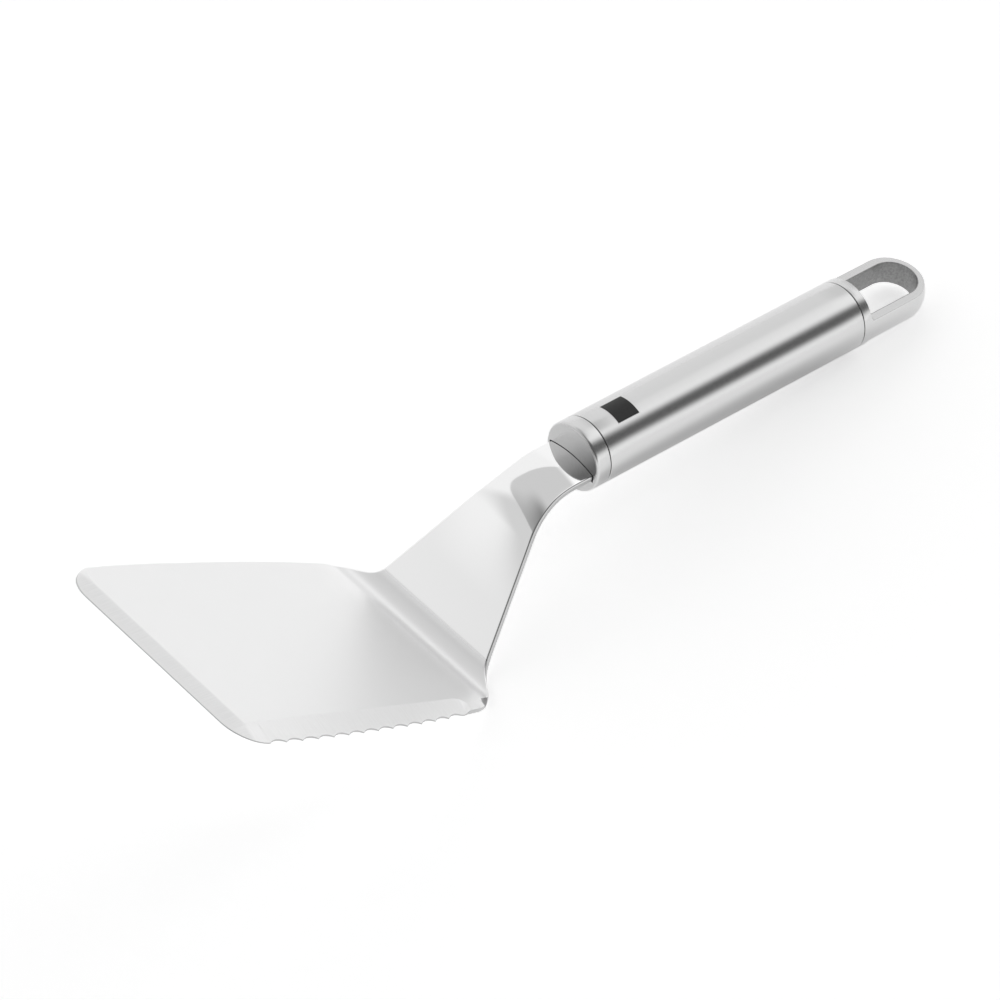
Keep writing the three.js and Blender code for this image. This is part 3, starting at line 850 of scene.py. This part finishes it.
bright_rim = 0.08
rim_fade = 0.08
rim_tone = 0.72
enamel_loss = 0.70
enamel_contrast = 0.012
enamel_roughness = 0.26
enamel_haze = 0.06
enamel_height = 0.000004
enamel_gloss = 0.25
plate_finish = new_finish(plate, "black_plate")
is_enamel = mark(plate_finish, "from_rim").step(bright_rim, bright_rim + rim_fade)
enamel_grain = noise(plate_finish, plate_finish.node("ShaderNodeTexCoord", out="Object"), 900.0, 3.0)
plate_roughness = enamel_roughness + enamel_grain * enamel_haze
finish_surface(
    plate_finish,
    tone=rim_tone - is_enamel * (enamel_loss - enamel_grain * enamel_contrast),
    bump=enamel_grain * enamel_height,
    sockets={"Roughness": plate_roughness, "Metallic": 1 - is_enamel, "Specular IOR Level": enamel_gloss},
)


# Floor: a wide white table. The camera, metal and glass see it a little lighter than the room makes it, and
# metal sees less of that under the handle, a painted shadow where the handle keeps the light off.
floor_reach = 6.0
floor_corners = [(end * floor_reach, side * floor_reach, 0)
                 for end, side in ((-1, -1), (1, -1), (1, 1), (-1, 1))]
floor_mesh = bpy.data.meshes.new("floor")
floor_mesh.from_pydata(floor_corners, [], [(0, 1, 2, 3)])
floor = bpy.data.objects.new("floor", floor_mesh)
bpy.context.scene.collection.objects.link(floor)
floor_white = 0.90
camera_glow = 0.50
metal_glow = 0.47
# Depth and place of the handle's painted shadow, which only the metal sees in the floor's glow.
painted_handle_shadow_depth = 0.7
painted_handle_shadow_middle = -0.012
floor_finish = new_finish(floor, "white_table")
by_camera, by_metal, by_glass = (
    floor_finish.node("ShaderNodeLightPath", out=ray)
    for ray in ("Is Camera Ray", "Is Glossy Ray", "Is Transmission Ray"))
floor_place = floor_finish.node("ShaderNodeTexCoord", out="Object")
floor_x, floor_y = (
    floor_finish.node("ShaderNodeSeparateXYZ", None, {"Vector": floor_place}, out=side)
    for side in ("X", "Y"))
# A patch under the handle where the glow seen by metal is lowered: a painted shadow of the handle.
beside_handle = abs(floor_y - painted_handle_shadow_middle).step(0.008, 0.060)
painted_handle_shadow = floor_x.step(0.0, 0.03) * (1 - beside_handle) * (1 - floor_x.step(0.09, 0.15))
mirror_glow = (by_metal + by_glass) * metal_glow * (1 - painted_handle_shadow * painted_handle_shadow_depth)
floor_glow = by_camera * camera_glow + mirror_glow
floor_surface = floor_finish.node("ShaderNodeBsdfPrincipled", None, {
    "Base Color": (floor_white, floor_white, floor_white, 1),
    "Roughness": 1.0,
    "Specular IOR Level": 0.0,
    "Emission Color": floor_finish.node("ShaderNodeCombineColor", None, {
        0: floor_glow, 1: floor_glow, 2: floor_glow}),
    "Emission Strength": 1.0,
})
floor_finish.node("ShaderNodeOutputMaterial", None, {"Surface": floor_surface})


# Studio: pale walls and a ceiling light everything, with a lighter panel over the handle, a dark gap between
# it and the near wall, and a grey card in front of the panel that goes dark low in front.
bpy.context.scene.view_settings.view_transform = "Standard"
world = bpy.data.worlds.new("studio")
bpy.context.scene.world = world
world.use_nodes = True
world.node_tree.nodes.clear()
wall_light = 0.98
panel_gain = 0.16
near_wall_gain = 0.17
far_wall_loss = 0.20
gap_loss = 0.88
card_light = 0.44
card_gain = 0.18
dusk_loss = 0.94
ceiling_light = 0.92
ceiling_loss = 0.26
panel_turn = 2.0
gap_turn = -44.0
card_round = 0.33
card_edge = 0.02
least_up = 0.05
studio = Shade(world.node_tree)
towards = studio.node("ShaderNodeTexCoord", out="Generated")
look_along, look_across, look_up = (dot(studio, towards, side) for side in handle_sides)
turn = math.degrees(1) * studio.math("ARCTAN2", look_across, look_up)
above = studio.math("MAXIMUM", look_up, least_up)
ceiling_along, ceiling_across = look_along / above, look_across / above


def past_side(across, slope):
    """How far a direction is past one straight side of the card: its distance on a flat ceiling to the line
    across + slope * along, plus the radius of the card's corner, and never under 0."""
    past = (ceiling_across - across - ceiling_along * slope) * (1 / math.hypot(1, slope)) + card_round
    return studio.math("MAXIMUM", past, 0.0)


card_side, card_end = past_side(0.765, -0.345), past_side(2.016, 1.43)
from_corner = studio.math("SQRT", card_side * card_side + card_end * card_end)
off_card = from_corner.step(card_round - card_edge, card_round + card_edge)
panel = 1 - abs(turn - panel_turn).step(12.0, 32.0)
in_front = 1 - look_along.step(-0.5, 0.2)
gap = 1 - abs(turn - gap_turn).step(in_front * 17.0 + 8.0, in_front * 25.0 + 30.0)
near_wall = 1 - turn.step(-75.0, -55.0)
far_wall = look_along.step(0.56, 0.70) * turn.step(5.0, 30.0)
walls = wall_light + panel * panel_gain + near_wall * near_wall_gain - far_wall * far_wall_loss
handle_light = walls * (1 - gap * gap_loss)
dusk = (1 - look_along.step(-0.5, -0.3)) * (1 - turn.step(-5.0, 32.0))
card = (card_light + look_along.step(-0.74, -0.40) * card_gain) * (1 - dusk * dusk_loss)
low_ceiling = (1 - look_along.step(-0.65, -0.50)) * (1 - turn.step(42.0, 60.0))
front_light = card + off_card * (ceiling_light - low_ceiling * ceiling_loss - card)
ahead = (1 - look_along.step(0.42, 0.62)) * turn.step(-15.0, 5.0)
light = handle_light + ahead * (front_light - handle_light)
background = studio.node("ShaderNodeBackground", None, {"Color": (1, 1, 1, 1), "Strength": light})
studio.node("ShaderNodeOutputWorld", None, {"Surface": background})
